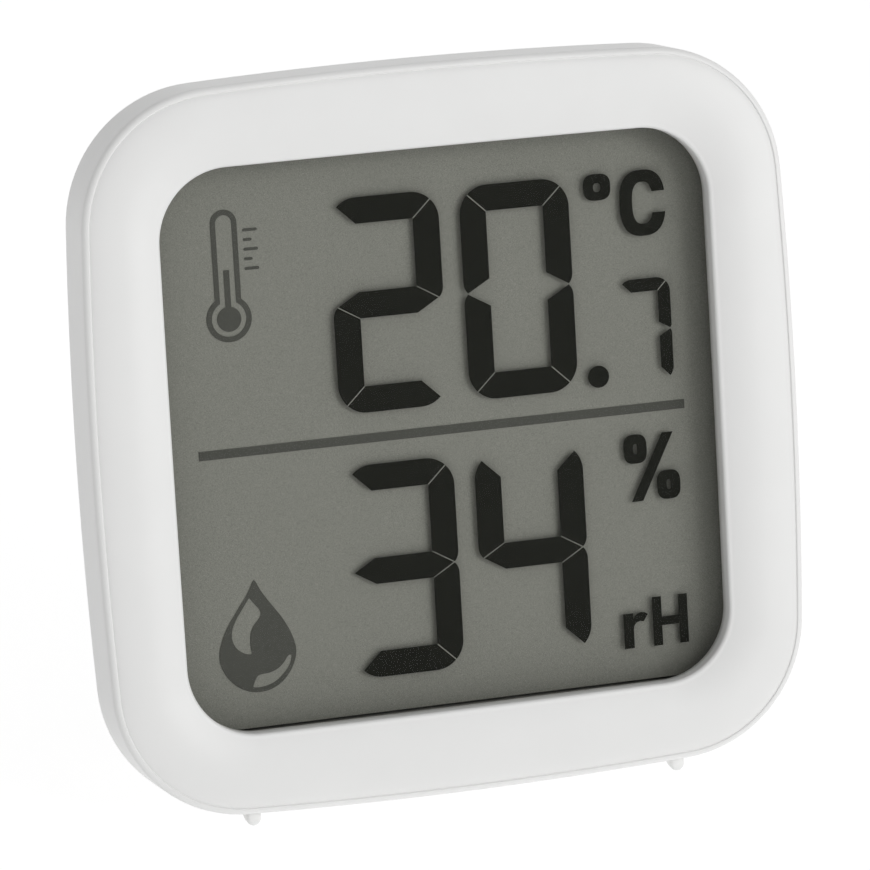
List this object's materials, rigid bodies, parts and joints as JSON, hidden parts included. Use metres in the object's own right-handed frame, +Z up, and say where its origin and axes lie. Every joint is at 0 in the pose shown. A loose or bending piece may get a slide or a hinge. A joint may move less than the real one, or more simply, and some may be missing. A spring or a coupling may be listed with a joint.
{
  "type": "thermo-hygrometer",
  "caption": "Square desk thermo-hygrometer: rounded white case, large display for temperature and humidity, fold-out stand, battery door and keyhole at the back.",
  "frame": {"origin": "on the table, under the middle of the whole part", "axes": "+Z up, front faces -Y, +X to the right of the display; the case leans back on its open stand"},
  "size_m": [0.07, 0.035, 0.0695],
  "materials": {
    "white_housing": "satin gloss white ABS moulding",
    "white_back": "fine matt white ABS moulding",
    "grey_button": "matt grey moulding",
    "clear_lens": "clear acrylic window",
    "black_tape": "black adhesive foam frame",
    "polariser_film": "anti-glare film",
    "lcd_glass": "clear cell glass",
    "lcd_reflector": "grey-green reflecting film",
    "black_holder": "black moulded tray",
    "contact_rubber": "layered silicone strip",
    "board_laminate": "green solder mask",
    "plated_screw": "zinc plated",
    "black_resin": "cast epoxy",
    "sensor_body": "moulded package",
    "crystal_can": "drawn can",
    "chip_ceramic": "sintered chip",
    "switch_body": "moulded switch body",
    "switch_plunger": "moulded plunger",
    "plated_contact": "nickel plated spring steel",
    "battery_steel": "nickel plated steel can",
    "battery_sleeve": "plain shrink sleeve"
  },
  "bodies": {
    "case": {"front_frame": "white_housing", "lens_tape": "black_tape", "display_lens": "clear_lens", "lcd_front_polariser": "polariser_film", "lcd_glass": "lcd_glass", "lcd_reflector": "lcd_reflector", "lcd_holder": "black_holder", "zebra_strips": "contact_rubber", "circuit_board": "board_laminate", "board_screws": "plated_screw", "controller_blob": "black_resin", "humidity_sensor": "sensor_body", "quartz_crystal": "crystal_can", "chip_components": "chip_ceramic", "tact_switch": "switch_body", "rear_shell": "white_back", "battery_contact_plus": "plated_contact", "battery_contact_minus": "plated_contact", "battery_cell": "battery_steel", "battery_sleeve": "battery_sleeve"},
    "stand": {"stand": "white_back"},
    "battery_door": {"battery_door": "white_back"},
    "unit_button": {"unit_button": "grey_button", "switch_plunger": "switch_plunger"}
  },
  "joints": [
    {"name": "stand_fold", "type": "hinge", "parent": "case", "child": "stand", "pos_m": [0, 0.00634, 0.02687], "axis": [-1, 0, 0], "range_deg": [0, 30]},
    {"name": "door_swing", "type": "hinge", "parent": "case", "child": "battery_door", "pos_m": [0, 0.00853, 0.03328], "axis": [-1, 0, 0], "range_deg": [0, 100]},
    {"name": "button_press", "type": "slide", "parent": "case", "child": "unit_button", "axis": [0, -0.9836, 0.1805], "range_m": [0, 0.0004], "stiffness_N_per_m": 1500}
  ]
}
